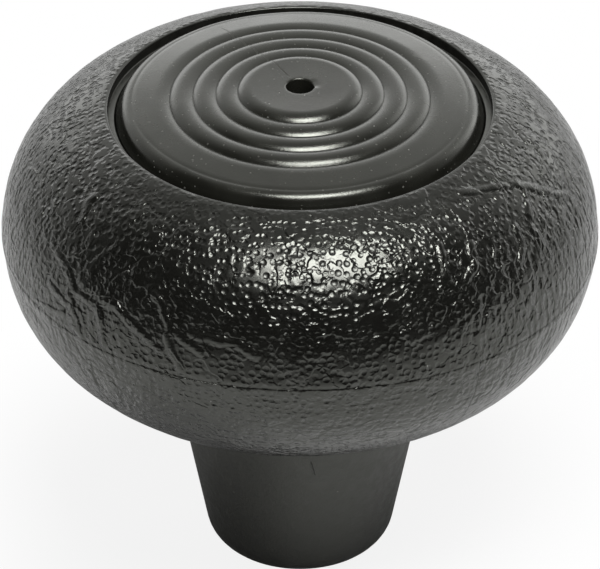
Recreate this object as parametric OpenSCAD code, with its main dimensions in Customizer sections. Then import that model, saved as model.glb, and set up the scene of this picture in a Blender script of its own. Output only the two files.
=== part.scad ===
// Round shift knob, in millimetres.
//
// A squat grip and its tapered stem are one soft moulding. A ringed cap snaps
// into the well in the top, and a knurled insert in the stem holds the thread
// for the lever. The knob stands on its stem: z = 0 is the foot, +Z is up.

/* [Grip] */
// Diameter of the grip at its widest
grip_d = 55; // [51:0.5:59]
// Height of the widest plane above the foot
grip_h = 34.15; // [31:0.05:42]
// Radius of the round above the widest plane
crown_r = 13.2; // [12:0.1:15]
// Radius of the round below the widest plane
belly_r = 13.7; // [12:0.1:15]
// Height of the parting line below the widest plane
seam_drop = 0.45; // [0:0.05:2]
// Width of the crease at the parting line
seam_w = 0.5; // [0.2:0.05:1]
// Depth of the crease at the parting line
seam_depth = 0.12; // [0.05:0.01:0.3]

/* [Stem] */
// Diameter of the stem where it meets the grip
neck_d = 24.5; // [21:0.1:27]
// Diameter of the stem at its foot, before rounding
foot_d = 16.64; // [15.6:0.02:20]
// Radius of the fillet between stem and grip
neck_round = 1.2; // [0.4:0.1:1.5]
// Radius of the rounding at the foot
foot_round = 3; // [1:0.1:3.6]

/* [Well] */
// Diameter of the well's mouth
well_d = 35.1; // [34.6:0.1:37]
// Rounding of the well's lip
lip_round = 0.35; // [0.1:0.05:0.6]
// Depth of the ledge below the lip
ledge_depth = 1; // [0.4:0.05:2]
// Width of the ledge
ledge_w = 0.62; // [0.3:0.02:1.2]
// Depth of the cap's seat below the ledge
seat_depth = 3.6; // [3:0.1:5]
// Width of the seat that the cap's skirt stands on
seat_w = 3.2; // [2:0.1:4]
// Depth of the hollow below the seat
hollow_depth = 12; // [4.5:0.5:14]
// Draft of the hollow's wall, in degrees
hollow_draft = 1.5; // [0:0.5:4]
// Radius at the bottom of the hollow
hollow_round = 2.5; // [0.5:0.5:4]

/* [Cap] */
// Gap between the cap's skirt and its seat's wall
cap_gap = 0.1; // [0.05:0.01:0.2]
// Height of the cap's dome above the lip
cap_rise = 2.25; // [1.8:0.05:4]
// Radius of the cap's dome
dome_r = 76; // [65:1:120]
// Lean of the cap's side from upright, in degrees
side_lean = 25; // [10:1:40]
// Rounding of the cap's edge
edge_round = 0.55; // [0.2:0.05:0.8]
// Thickness of the cap's top
cap_wall = 1.8; // [1.2:0.1:2.4]
// Thickness of the cap's skirt
skirt_wall = 1.5; // [1:0.1:2]
// Fillet inside the cap, between its top and its skirt
skirt_round = 0.8; // [0.3:0.1:1.2]
// Diameter of the hole in the cap's middle
eye_d = 2.5; // [1:0.1:5]
// Rounding of the hole's mouth
eye_round = 0.2; // [0.05:0.05:0.5]
// Radius of the bead that snaps into the well
snap_r = 0.7; // [0.4:0.05:1]
// Height that the bead stands out of the skirt
snap_proud = 0.4; // [0.2:0.05:0.6]
// Height of the bead's middle above the seat
snap_h = 1.6; // [1.3:0.1:2.2]

/* [Rings] */
// Number of ridges round the centre disc
ring_count = 3; // [1:1:3]
// Radius of the centre disc, at the crest of its rim
disc_r = 4.58; // [3.6:0.02:5.4]
// Height of the disc's rim above the dome
disc_rise = 0.16; // [0:0.02:0.3]
// Radius of the shallow dish in the disc's face
dish_r = 47; // [30:1:90]
// Distance from ridge to ridge
ring_pitch = 2.06; // [1.7:0.02:2.26]
// Radius of each ridge's gentle inner slope
slope_r = 2.3; // [2:0.1:4]
// Radius of each ridge's steep outer shoulder
shoulder_r = 1.46; // [1.3:0.02:2]
// Distance of the fine edge line inside the cap's rounded edge
line_inset = 0.41; // [0.3:0.01:0.8]
// Width of the fine edge line
line_w = 0.45; // [0.2:0.05:0.5]
// Depth of the fine edge line
line_depth = 0.07; // [0.03:0.01:0.1]

/* [Insert] */
// Outside diameter of the lever's thread
thread_d = 8; // [6:1:8]
// Pitch of the lever's thread
thread_pitch = 1.25; // [1:0.25:1.5]
// Length of the insert
insert_len = 21; // [20:0.5:24]
// Length above the thread, which holds the point of the drilled hole
blind_end = 4; // [3:0.5:8]
// Outside diameter of the insert over its knurl
insert_d = 11.4; // [11:0.1:12]
// Diameter of the insert between and beyond its knurled bands
insert_core_d = 9.8; // [9.4:0.1:10]
// Height of the insert's face above the foot
insert_set = 0.6; // [0:0.1:2]
// Height of each knurled band
knurl_h = 5.5; // [3:0.5:6]
// Distance between the two knurled bands
knurl_gap = 4; // [2:0.5:6]
// Depth of the knurl's teeth
knurl_depth = 0.35; // [0.2:0.05:0.5]
// Number of teeth round the knurl
knurl_count = 30; // [16:2:40]
// Width of the chamfer at the thread's mouth
mouth_chamfer = 0.7; // [0.3:0.1:0.8]

/* [Hidden] */
$fn = 96;
arc_step = 5;                                 // turn from point to point along an arc
shortest_chord = 0.15;                        // and the least distance between them
reach = 2;                                    // how far a cutter stands clear of a face
drill_tip = 118;                              // angle of the drill's point

// Each outline point is [distance from the axis, height].

// grip and stem
grip_r = grip_d / 2;
crown_c = [grip_r - crown_r, grip_h];         // middle of the upper round
belly_c = [grip_r - belly_r, grip_h];         // middle of the lower round
under_z = grip_h - belly_r;                   // the grip's underside
seam_z = grip_h - seam_drop;
foot_edge = [foot_d / 2, 0];
neck_edge = [neck_d / 2, under_z];
stem_lean = atan2(neck_edge[0] - foot_edge[0], under_z);
foot_c = foot_edge + inset(foot_round, stem_lean);
neck_c = neck_edge - inset(neck_round, stem_lean);

// well
well_r = well_d / 2;
lip_c = on_line([well_r + lip_round, grip_h], [0, 1], crown_c, crown_r - lip_round);
lip_z = lip_c[1] + lip_round;                 // the grip's top
ledge_z = lip_z - ledge_depth;
seat_r = well_r - ledge_w;
seat_z = ledge_z - seat_depth;
hollow_r = seat_r - seat_w;
hollow_edge = [hollow_r - hollow_depth * tan(hollow_draft), seat_z - hollow_depth];
hollow_c = hollow_edge + inset(hollow_round, hollow_draft);

// cap
skirt_r = seat_r - cap_gap;
skirt_in_r = skirt_r - skirt_wall;
side_foot = [skirt_r, ledge_z];
dome_c = [0, lip_z + cap_rise - dome_r];
edge_c = on_line(side_foot - edge_round * heading(side_lean), lean(-side_lean),
                 dome_c, dome_r - edge_round);
edge_start = edge_c[0] * dome_r / (dome_r - edge_round);  // where the rounded edge begins
line_at = edge_start - line_inset;            // distance of the edge line from the axis
inner_c = on_line([skirt_in_r - skirt_round, seat_z], [0, 1],
                  dome_c, dome_r - cap_wall - skirt_round);
disc_c = crest(0) - [0, slope_r];             // middle of the round inside the disc's rim
dish_c = disc_c + (dish_r + slope_r) * lean(-asin(disc_r / (dish_r + slope_r)));
eye_r = eye_d / 2;
eye_x = eye_r + eye_round;
eye_c = [eye_x, dish_c[1] - sqrt((dish_r + eye_round) * (dish_r + eye_round) - eye_x * eye_x)];
snap_c = [skirt_r + snap_proud - snap_r, seat_z + snap_h];

// insert
thread_bore_r = (thread_d - 1.0825 * thread_pitch) / 2;  // crest of a standard inside thread
core_r = insert_core_d / 2;
insert_top = insert_set + insert_len;
thread_top = insert_top - blind_end;

// The unit vector at angle a from the outward direction
function heading(a) = [cos(a), sin(a)];

// The unit vector that leans outwards by angle a from upright
function lean(a) = [sin(a), cos(a)];

// The angle at which p lies, seen from c
function heading_of(p, c) = atan2(p[1] - c[1], p[0] - c[0]);

// The points of an arc of radius r round c, from heading a to heading b
function arc(c, r, a, b) =
    let (turn = abs(b - a),
         n = max(2, ceil(min(turn / arc_step, turn * PI / 180 * r / shortest_chord))))
    [for (i = [0 : n]) c + r * heading(a + (b - a) * i / n)];

// An outline without the points that the next one repeats
function tidy(points) =
    let (n = len(points))
    [for (i = [0 : n - 1]) if (norm(points[i] - points[(i + 1) % n]) > 0.001) points[i]];

// From the corner between a level base and a wall that leans outwards by a, to the
// middle of the round of radius r that touches both
function inset(r, a) = r * ((1 - sin(a)) / cos(a) * lean(a) - heading(-a));

// Where the line from p along the unit vector d leaves the circle of radius r round c
function on_line(p, d, c, r) =
    let (w = p - c, b = d * w)
    p + d * (sqrt(b * b - w * w + r * r) - b);

// The upper point where circles round a and b cross, with b further out
function crossing(a, ra, b, rb) =
    let (d = norm(b - a), x = (d * d + ra * ra - rb * rb) / (2 * d), u = (b - a) / d)
    a + x * u + sqrt(ra * ra - x * x) * [-u[1], u[0]];

// Half the angle that a circle of radius r shows beyond a wall at distance d from its middle
function half_shown(r, d) = acos(d / r);

// The heading, from the middle of a dome of radius r, of its point at distance x from the axis
function dome_heading(x, r = dome_r) = acos(x / r);

// The point on that heading that lies below the cap's dome by sink
function under_dome(x, sink) = dome_c + (dome_r - sink) * heading(dome_heading(x));

// The crest of ridge i, where its top is level: 0 is the rim of the centre disc
function crest(i) =
    let (x = disc_r + i * ring_pitch)
    under_dome(x, 0) + [0, i == 0 ? disc_rise : 0];

// The middle of the shoulder that falls away outside that crest
function shoulder_c(i) = crest(i) - [0, shoulder_r];

// The middle of the slope that climbs to that crest. Outside the last ridge, the slope
// climbs to the plain land and touches the dome from below
function slope_c(i) =
    i <= ring_count
    ? crest(i) - [0, slope_r]
    : under_dome(crest(i)[0] * dome_r / (dome_r - slope_r), slope_r);

// The bottom of the groove outside ridge i, where its shoulder meets the next slope
function groove(i) = crossing(shoulder_c(i), shoulder_r, slope_c(i + 1), slope_r);

// The outside of the grip and stem, then the well, its ledge, the cap's seat with its
// snap groove, the hollow, and the socket for the insert
module body_outline() {
    groove_r = snap_r + cap_gap;
    groove_half = half_shown(groove_r, seat_r - snap_c[0]);
    crease = seam_w / 2;
    polygon(tidy(concat(
        [[0, insert_top], [core_r, insert_top], [core_r, 0]],
        arc(foot_c, foot_round, -90, -stem_lean),
        arc(neck_c, neck_round, 180 - stem_lean, 90),
        arc(belly_c, belly_r, -90, -asin((seam_drop + crease) / belly_r)),
        [[grip_r - seam_depth, seam_z]],
        arc(crown_c, crown_r, 0, heading_of(lip_c, crown_c)),
        arc(lip_c, lip_round, heading_of(lip_c, crown_c), 180),
        [[well_r, ledge_z], [seat_r, ledge_z]],
        arc(snap_c, groove_r, groove_half, -groove_half),
        [[seat_r, seat_z], [hollow_r, seat_z]],
        arc(hollow_c, hollow_round, -hollow_draft, -90),
        [[0, hollow_edge[1]]]
    )));
}

// One moulding round the insert: the grip, its well and its stem
module knob_body() {
    color("#1b1b19") difference() {
        rotate_extrude() body_outline();
        knurled_bands();
    }
}

// The cap's ringed dome from its edge to the hole, its underside, and its skirt with
// the bead that snaps into the well
module cap_outline() {
    land = ring_count + 1;
    dish_turn = asin(disc_r / (dish_r + slope_r));
    under_r = dome_r - cap_wall;
    bead_half = half_shown(snap_r, skirt_r - snap_c[0]);
    polygon(tidy(concat(
        arc(edge_c, edge_round, side_lean, heading_of(edge_c, dome_c)),
        [
            under_dome(line_at + line_w / 2, 0),
            under_dome(line_at, line_depth),
            under_dome(line_at - line_w / 2, 0)
        ],
        arc(slope_c(land), slope_r,
            heading_of(slope_c(land), dome_c), heading_of(groove(land - 1), slope_c(land))),
        [for (i = [ring_count : -1 : 1]) each concat(
            arc(shoulder_c(i), shoulder_r, heading_of(groove(i), shoulder_c(i)), 90),
            arc(slope_c(i), slope_r, 90, heading_of(groove(i - 1), slope_c(i))))],
        arc(shoulder_c(0), shoulder_r, heading_of(groove(0), shoulder_c(0)), 90),
        arc(disc_c, slope_r, 90, 90 + dish_turn),
        arc(dish_c, dish_r, -90 + dish_turn, heading_of(eye_c, dish_c)),
        arc(eye_c, eye_round, heading_of(dish_c, eye_c), 180),
        arc(dome_c, under_r, dome_heading(eye_r, under_r), heading_of(inner_c, dome_c)),
        arc(inner_c, skirt_round, heading_of(inner_c, dome_c), 0),
        [[skirt_in_r, seat_z], [skirt_r, seat_z]],
        arc(snap_c, snap_r, -bead_half, bead_half),
        [side_foot]
    )));
}

// The ringed cap
module cap() {
    color("#2b2b28") rotate_extrude() cap_outline();
}

// The two knurled bands that the stem is moulded round
module knurled_bands() {
    for (side = [-1, 1])
        translate([0, 0, insert_set + insert_len / 2 + side * (knurl_gap + knurl_h) / 2 - knurl_h / 2])
            linear_extrude(knurl_h) knurl();
}

// The section of a knurled band
module knurl() {
    polygon([
        for (i = [0 : 2 * knurl_count - 1])
            (insert_d / 2 - i % 2 * knurl_depth) * heading(i * 180 / knurl_count)
    ]);
}

// The insert's turned core, with the lever's hole closed at the top
module insert_outline() {
    drill_h = thread_bore_r / tan(drill_tip / 2);
    polygon([
        [thread_bore_r + mouth_chamfer, insert_set],
        [core_r, insert_set],
        [core_r, insert_top],
        [0, insert_top],
        [0, thread_top + drill_h],
        [thread_bore_r, thread_top],
        [thread_bore_r, insert_set + mouth_chamfer]
    ]);
}

// The insert that the lever screws into
module threaded_insert() {
    color("#b8924a") {
        rotate_extrude() insert_outline();
        difference() {
            knurled_bands();
            translate([0, 0, -reach])
                cylinder(h = insert_top + 2 * reach, r = (thread_bore_r + core_r) / 2);
        }
    }
}

knob_body();
cap();
threaded_insert();
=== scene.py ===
"""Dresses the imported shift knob: grained grip and stem, ringed cap, brass insert, and a plain studio.

Lengths in the tables and settings are in millimetres unless Blender shows a unit for them.
Each turned piece is an outline of [distance from the axis, height], spun round the upright axis.
"""

import math

import bpy
import numpy as np
from mathutils import Euler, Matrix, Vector, noise


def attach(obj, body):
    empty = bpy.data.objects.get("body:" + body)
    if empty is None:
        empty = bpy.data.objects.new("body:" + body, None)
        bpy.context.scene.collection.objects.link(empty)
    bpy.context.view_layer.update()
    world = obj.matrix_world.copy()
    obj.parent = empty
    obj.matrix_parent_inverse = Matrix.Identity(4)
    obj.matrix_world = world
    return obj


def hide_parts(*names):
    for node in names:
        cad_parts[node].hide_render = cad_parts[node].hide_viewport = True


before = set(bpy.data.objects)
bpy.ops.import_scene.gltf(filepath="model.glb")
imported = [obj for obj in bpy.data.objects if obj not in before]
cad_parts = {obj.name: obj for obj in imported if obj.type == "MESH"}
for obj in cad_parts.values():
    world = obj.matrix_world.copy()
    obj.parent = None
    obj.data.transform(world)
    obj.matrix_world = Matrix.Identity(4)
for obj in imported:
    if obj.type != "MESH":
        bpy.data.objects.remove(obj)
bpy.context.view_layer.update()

bl_info = {
    "name": "Shift Knob",
    "version": (1, 0, 0),
    "blender": (4, 5, 0),
    "location": "3D View > Sidebar > Shift Knob",
    "description": "Builds a soft grained shift knob with a ringed cap and a brass insert",
    "category": "Add Mesh",
}

MM = 0.001
BODY_TURN = 520
CAP_TURN = 360
THREAD_TURN = 96
NOISE_SHIFT = Vector((11.3, 4.7, 8.9))
NOISE_SEED = 7


# ---------------------------------------------------------------- the knob's sizes

GRIP_R = 27.5
GRIP_H = 34.15
CROWN_R = 13.2
BELLY_R = 13.7
SEAM_DROP = 0.45
SEAM_ARRIS = 0.05
SEAM_RISE = 0.34
SEAM_FALL = 0.2
SEAM_RUN = 24.0
MOULD_LINE_TURN = -54.3
NICK = ((0.98, 15.2), (1.33, 13.5))
NECK_R = 12.25
FOOT_R = 8.32
NECK_ROUND = 1.2
FOOT_ROUND = 3.0
WELL_R = 17.55
LIP_ROUND = 0.35
LIP_EDGE = 0.13
LEDGE_DEPTH = 1.0
LEDGE_W = 0.62
SEAT_DEPTH = 3.6
SEAT_W = 3.2
HOLLOW_DEPTH = 12.0
HOLLOW_DRAFT = 1.5
HOLLOW_ROUND = 2.5
CAP_GAP = 0.1
CAP_RISE = 2.25
DOME_R = 76.0
SIDE_LEAN = 25.0
EDGE_ROUND = 1.1
CAP_WALL = 1.8
SKIRT_WALL = 1.5
SKIRT_ROUND = 0.8
EYE_R = 1.25
EYE_ROUND = 0.2
SNAP_R = 0.7
SNAP_PROUD = 0.4
SNAP_H = 1.6
RING_COUNT = 3
DISC_R = 4.58
DISC_RISE = 0.16
DISH_R = 110.0
RING_PITCH = 2.06
SLOPE_R = 2.3
SHOULDER_R = 1.46
LINE_INSET = 0.22
LINE_W = 0.42
LINE_DEPTH = 0.035
CHIP_TURN = 18.0
KNIT_LINE_TURN = 120.3
BLOOM_AT = (12.0, 6.6)
BLOOM_TURN = -30.1
BLOOM_LONG, BLOOM_WIDE = 2.7, 0.9
THREAD_R = 4.0
THREAD_PITCH = 1.25
INSERT_LEN = 21.0
BLIND_END = 4.0
INSERT_R = 5.7
INSERT_CORE_R = 4.9
INSERT_SET = 0.6
KNURL_H = 5.5
KNURL_GAP = 4.0
KNURL_DEPTH = 0.35
KNURL_COUNT = 30
MOUTH_CHAMFER = 0.7
DRILL_TIP = 118.0

# The view: its pitch in degrees, how far it lies back from the grip's middle and down from it, its
# lens and sensor in millimetres, and its pixels across and down.
VIEW_PITCH = 33.05
VIEW_BACK = 660.0
VIEW_DROP = 5.616
VIEW_LENS = 430.1
VIEW_SENSOR = 36.0
VIEW_WIDE, VIEW_HIGH = 600, 569

# How wide the long creases are, how far they wind, and where each stretch is laid on the skin, as
# shares of its length.
CREASE_HALF_W = 0.36
CREASE_WIND = 0.3
CREASE_SHARES = (0, 0.33, 0.67)

# Long raised creases of the leather: pixels across and down the view of each end and bend.
CREASES = {
    "left_shoulder": [(52, 242), (64, 265), (72, 289), (98, 309)],
    "left_hook": [(82, 222), (88, 201), (95, 196)],
    "left_drop": [(68, 292), (71, 308), (82, 340)],
    "left_inner": [(48, 283), (75, 318)],
    "left_low": [(36, 302), (70, 319), (81, 340)],
    "left_short": [(99, 311), (102, 344)],
    "left_fall": [(100, 302), (111, 303), (127, 320), (161, 353)],
    "front_left": [(154, 295), (161, 303), (170, 332), (200, 353)],
    "front_fork": [(166, 336), (170, 351), (181, 370)],
    "front_run": [(190, 335), (234, 344), (257, 358)],
    "below_left": [(88, 372), (97, 390), (115, 408)],
    "right_top": [(461, 192), (517, 183), (544, 191), (571, 195)],
    "right_fall": [(524, 186), (533, 227), (549, 253)],
    "right_hook": [(517, 227), (523, 245), (520, 264)],
    "front_right": [(440, 245), (448, 277)],
    "front_bend": [(472, 244), (475, 264), (467, 280)],
}


# ---------------------------------------------------------------- outline geometry

def heading(a):
    """The unit vector at angle a, in degrees, from the outward direction."""
    return np.array([math.cos(math.radians(a)), math.sin(math.radians(a))])


def lean(a):
    """The unit vector that leans outwards by angle a from upright."""
    return np.array([math.sin(math.radians(a)), math.cos(math.radians(a))])


def heading_of(p, c):
    """The angle at which p lies, seen from c."""
    return math.degrees(math.atan2(p[1] - c[1], p[0] - c[0]))


def inset(r, a):
    """From the corner of a level base and a wall leaning out by a, to the middle of the round in it."""
    a_rad = math.radians(a)
    return r * ((1 - math.sin(a_rad)) / math.cos(a_rad) * lean(a) - heading(-a))


def on_line(p, d, c, r):
    """Where the line from p along d leaves the circle of radius r round c."""
    w = np.array(p) - c
    b = float(np.dot(d, w))
    return np.array(p) + np.array(d) * (math.sqrt(b * b - float(np.dot(w, w)) + r * r) - b)


def arc(c, r, a, b, step):
    """The points of an arc round c from heading a to heading b, about step apart."""
    count = max(2, math.ceil(math.radians(abs(b - a)) * r / step))
    return [np.array(c) + r * heading(a + (b - a) * i / count) for i in range(count + 1)]


def straight(p, q, step):
    """The points from p to q, about step apart."""
    p, q = np.array(p, float), np.array(q, float)
    count = max(1, math.ceil(float(np.linalg.norm(q - p)) / step))
    return [p + (q - p) * i / count for i in range(count + 1)]


UNDER_Z = GRIP_H - BELLY_R
SEAM_Z = GRIP_H - SEAM_DROP
CROWN_C = np.array([GRIP_R - CROWN_R, GRIP_H])
BELLY_C = np.array([GRIP_R - BELLY_R, GRIP_H])
STEM_LEAN = math.degrees(math.atan2(NECK_R - FOOT_R, UNDER_Z))
FOOT_C = np.array([FOOT_R, 0]) + inset(FOOT_ROUND, STEM_LEAN)
NECK_C = np.array([NECK_R, UNDER_Z]) - inset(NECK_ROUND, STEM_LEAN)
LIP_C = on_line([WELL_R + LIP_ROUND, GRIP_H], [0, 1], CROWN_C, CROWN_R - LIP_ROUND)
LIP_Z = LIP_C[1] + LIP_ROUND
LEDGE_Z = LIP_Z - LEDGE_DEPTH
SEAT_R = WELL_R - LEDGE_W
SEAT_Z = LEDGE_Z - SEAT_DEPTH
HOLLOW_R = SEAT_R - SEAT_W
HOLLOW_Z = SEAT_Z - HOLLOW_DEPTH
HOLLOW_EDGE = np.array([HOLLOW_R - HOLLOW_DEPTH * math.tan(math.radians(HOLLOW_DRAFT)), HOLLOW_Z])
HOLLOW_C = HOLLOW_EDGE + inset(HOLLOW_ROUND, HOLLOW_DRAFT)
SKIRT_R = SEAT_R - CAP_GAP
SKIRT_IN_R = SKIRT_R - SKIRT_WALL
DOME_C = np.array([0, LIP_Z + CAP_RISE - DOME_R])
SIDE_FOOT = np.array([SKIRT_R, LEDGE_Z])
EDGE_C = on_line(SIDE_FOOT - EDGE_ROUND * heading(SIDE_LEAN), lean(-SIDE_LEAN),
                 DOME_C, DOME_R - EDGE_ROUND)
INNER_C = on_line([SKIRT_IN_R - SKIRT_ROUND, SEAT_Z], [0, 1],
                  DOME_C, DOME_R - CAP_WALL - SKIRT_ROUND)
LINE_AT = EDGE_C[0] * DOME_R / (DOME_R - EDGE_ROUND) - LINE_INSET
SNAP_C = np.array([SKIRT_R + SNAP_PROUD - SNAP_R, SEAT_Z + SNAP_H])
INSERT_TOP = INSERT_SET + INSERT_LEN
THREAD_BORE_R = THREAD_R - 1.0825 * THREAD_PITCH / 2


def dome_heading(x, r=DOME_R):
    """The heading, from the middle of a dome of radius r, of its point at distance x from the axis."""
    return math.degrees(math.acos(x / r))


def under_dome(x, sink):
    """The point on that heading that lies below the cap's dome by sink."""
    return DOME_C + (DOME_R - sink) * heading(dome_heading(x))


def crest(i):
    """The crest of ridge i, where its top is level; 0 is the rim of the centre disc."""
    return under_dome(DISC_R + i * RING_PITCH, 0) + [0, DISC_RISE if i == 0 else 0]


def shoulder_c(i):
    """The middle of the shoulder that falls away outside that crest."""
    return crest(i) - [0, SHOULDER_R]


def slope_c(i):
    """The middle of the slope that climbs to that crest, or to the plain land outside the ridges."""
    if i <= RING_COUNT:
        return crest(i) - [0, SLOPE_R]
    return under_dome(crest(i)[0] * DOME_R / (DOME_R - SLOPE_R), SLOPE_R)


def groove(i):
    """The bottom of the groove outside ridge i, where its shoulder meets the next slope."""
    a, b = shoulder_c(i), slope_c(i + 1)
    d = float(np.linalg.norm(b - a))
    x = (d * d + SHOULDER_R ** 2 - SLOPE_R ** 2) / (2 * d)
    u = (b - a) / d
    return a + x * u + math.sqrt(SHOULDER_R ** 2 - x * x) * np.array([-u[1], u[0]])


DISH_TURN = math.degrees(math.asin(DISC_R / (DISH_R + SLOPE_R)))
DISC_C = crest(0) - [0, SLOPE_R]
DISH_C = DISC_C + (DISH_R + SLOPE_R) * lean(-DISH_TURN)
EYE_C = np.array([EYE_R + EYE_ROUND,
                  DISH_C[1] - math.sqrt((DISH_R + EYE_ROUND) ** 2 - (EYE_R + EYE_ROUND) ** 2)])


# ---------------------------------------------------------------- mesh building

def spun_mesh(name, outline, turn, finishes, shift=None):
    """Spins an outline round the upright axis. finishes gives each point's material number, and shift
    moves the points: it takes their places and outward normals in mm and returns the new places."""
    points = [outline[0]]
    marks = [finishes[0]]
    for p, mark in zip(outline[1:], finishes[1:]):
        if np.linalg.norm(np.array(p) - points[-1]) > 1e-4:
            points.append(p)
            marks.append(mark)
    points = np.array(points, float)
    closed = points[0][0] > 1e-6
    before = np.roll(points, 1, axis=0)
    after = np.roll(points, -1, axis=0)
    if not closed:
        before[0], after[-1] = points[0], points[-1]
    along = after - before
    along /= np.linalg.norm(along, axis=1)[:, None]
    angles = np.arange(turn) * 2 * math.pi / turn
    places, normals, first = [], [], []
    for (r, z), (dr, dz) in zip(points, along):
        first.append(len(places))
        if r < 1e-6:
            places.append((0.0, 0.0, z))
            normals.append((0.0, 0.0, 1.0 if dr < 0 else -1.0))
            continue
        for a in angles:
            places.append((r * math.cos(a), r * math.sin(a), z))
            normals.append((dz * math.cos(a), dz * math.sin(a), -dr))
    places, normals = np.array(places), np.array(normals)
    if shift is not None:
        places = shift(places, normals)
    faces, face_marks = [], []
    rings = len(points)
    for i in range(rings if closed else rings - 1):
        j = (i + 1) % rings
        a, b = first[i], first[j]
        for k in range(turn):
            n = (k + 1) % turn
            if points[i][0] < 1e-6:
                faces.append((a, b + n, b + k))
            elif points[j][0] < 1e-6:
                faces.append((a + k, a + n, b))
            else:
                faces.append((a + k, a + n, b + n, b + k))
            face_marks.append(marks[j])
    return finished_mesh(name, places, faces, face_marks)


def finished_mesh(name, places, faces, face_marks):
    """A smooth-shaded mesh in metres from places in mm, with its crisp corners kept sharp."""
    mesh = bpy.data.meshes.new(name)
    mesh.from_pydata((np.array(places) * MM).tolist(), [], faces)
    mesh.polygons.foreach_set("material_index", np.array(face_marks, np.int32))
    mesh.polygons.foreach_set("use_smooth", np.ones(len(mesh.polygons), bool))
    mesh.validate()
    mesh.set_sharp_from_angle(angle=math.radians(38))
    mesh.update()
    return mesh


def add_piece(name, mesh, node, materials):
    """Puts the mesh in the scene as the piece that stands for a node of the frame."""
    piece = bpy.data.objects.new(name, mesh)
    bpy.context.scene.collection.objects.link(piece)
    for material in materials:
        mesh.materials.append(material)
    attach(piece, "root")
    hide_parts(node)
    return piece


def smooth(x, low, high):
    """Rises smoothly from 0 at low to 1 at high."""
    t = np.clip((np.asarray(x, float) - low) / (high - low), 0, 1)
    return t * t * (3 - 2 * t)


# ---------------------------------------------------------------- node building

def new_material(name):
    """An empty node material with its output, and the output node."""
    material = bpy.data.materials.new(name)
    material.use_nodes = True
    tree = material.node_tree
    tree.nodes.clear()
    return material, tree, tree.nodes.new("ShaderNodeOutputMaterial")


def put(tree, kind, inputs=None, **settings):
    """Adds a node, with its settings and its inputs: a socket is linked and anything else is set."""
    made = tree.nodes.new(kind)
    for key, value in settings.items():
        setattr(made, key, value)
    for key, value in (inputs or {}).items():
        if isinstance(value, bpy.types.NodeSocket):
            tree.links.new(value, made.inputs[key])
        else:
            made.inputs[key].default_value = value
    return made


def maths(tree, operation, *values):
    """A Math node's result."""
    made = put(tree, "ShaderNodeMath", dict(enumerate(values)), operation=operation)
    return made.outputs[0]


def vector_maths(tree, operation, *values, result=0):
    """A Vector Math node's result."""
    made = put(tree, "ShaderNodeVectorMath", dict(enumerate(values)), operation=operation)
    return made.outputs[result]


def between(tree, value, low, high, to_low=0.0, to_high=1.0):
    """The value carried smoothly from the span low..high to the span to_low..to_high."""
    made = put(tree, "ShaderNodeMapRange",
               {"Value": value, "From Min": low, "From Max": high, "To Min": to_low, "To Max": to_high},
               interpolation_type="SMOOTHSTEP")
    return made.outputs["Result"]


def noise_of(tree, vector, scale, detail=2.0, rough=0.5):
    """A Noise node at a scale per mm."""
    return put(tree, "ShaderNodeTexNoise",
               {"Vector": vector, "Scale": scale, "Detail": detail, "Roughness": rough})


def cells_of(tree, vector, scale, feature, rand=1.0):
    """A Voronoi node at a scale per mm."""
    return put(tree, "ShaderNodeTexVoronoi",
               {"Vector": vector, "Scale": scale, "Randomness": rand}, feature=feature)


def scaled(tree, vector, by):
    """A vector times a number."""
    return put(tree, "ShaderNodeVectorMath", {0: vector, "Scale": by}, operation="SCALE").outputs[0]


def mm_place(tree):
    """The place on the piece in mm."""
    return scaled(tree, put(tree, "ShaderNodeTexCoord").outputs["Object"], 1 / MM)


def axes_of(tree, place):
    """The x, y and z of a place."""
    parts = put(tree, "ShaderNodeSeparateXYZ", {0: place})
    return parts.outputs["X"], parts.outputs["Y"], parts.outputs["Z"]


def length_of(tree, x, y):
    """The length of x and y taken together."""
    flat = put(tree, "ShaderNodeCombineXYZ", {"X": x, "Y": y}).outputs[0]
    return vector_maths(tree, "LENGTH", flat, result=1)


def turned(tree, x, y, turn):
    """How far a place lies along and across a direction at a turn, in degrees, from +X."""
    c, s = math.cos(math.radians(turn)), math.sin(math.radians(turn))
    along = maths(tree, "MULTIPLY_ADD", x, c, maths(tree, "MULTIPLY", y, s))
    across = maths(tree, "MULTIPLY_ADD", x, -s, maths(tree, "MULTIPLY", y, c))
    return along, across


def off_swaying(tree, place, across, scale, sway):
    """How far a place lies from a line that sways to both sides."""
    bend = maths(tree, "MULTIPLY_ADD", noise_of(tree, place, scale).outputs["Fac"], sway * 2, -sway)
    return maths(tree, "ABSOLUTE", maths(tree, "ADD", across, bend))


def bowl_of(tree, distance, reach):
    """A rounded bowl: 1 in the middle of a cell, and 0 from reach outwards."""
    near = maths(tree, "MULTIPLY", distance, 1 / reach)
    return put(tree, "ShaderNodeMath", {0: maths(tree, "MULTIPLY", near, near), 1: -1.0, 2: 1.0},
               operation="MULTIPLY_ADD", use_clamp=True).outputs[0]


def raised_by(tree, height, form, by):
    """A height with a form added, by so much."""
    return maths(tree, "MULTIPLY_ADD", form, by, height)


def speckled(tree, place, colour, scale, reach, dust, share=1.0):
    """A colour with fine specks of dust on it."""
    specks = cells_of(tree, place, scale, "F1")
    speck = maths(tree, "LESS_THAN", specks.outputs["Distance"], reach)
    return mixed(tree, maths(tree, "MULTIPLY", speck, share), colour, dust)


def mixed(tree, factor, a, b):
    """A colour mix of a and b."""
    made = put(tree, "ShaderNodeMix", {"Factor": factor}, data_type="RGBA")
    for key, value in ((6, a), (7, b)):
        if isinstance(value, bpy.types.NodeSocket):
            tree.links.new(value, made.inputs[key])
        else:
            made.inputs[key].default_value = (*value, 1.0)
    return made.outputs[2]


def bump_of(tree, height, depth):
    """Bump from a height of 0 to 1, depth in mm."""
    return put(tree, "ShaderNodeBump",
               {"Height": height, "Distance": depth * MM, "Strength": 1.0}).outputs["Normal"]


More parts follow.
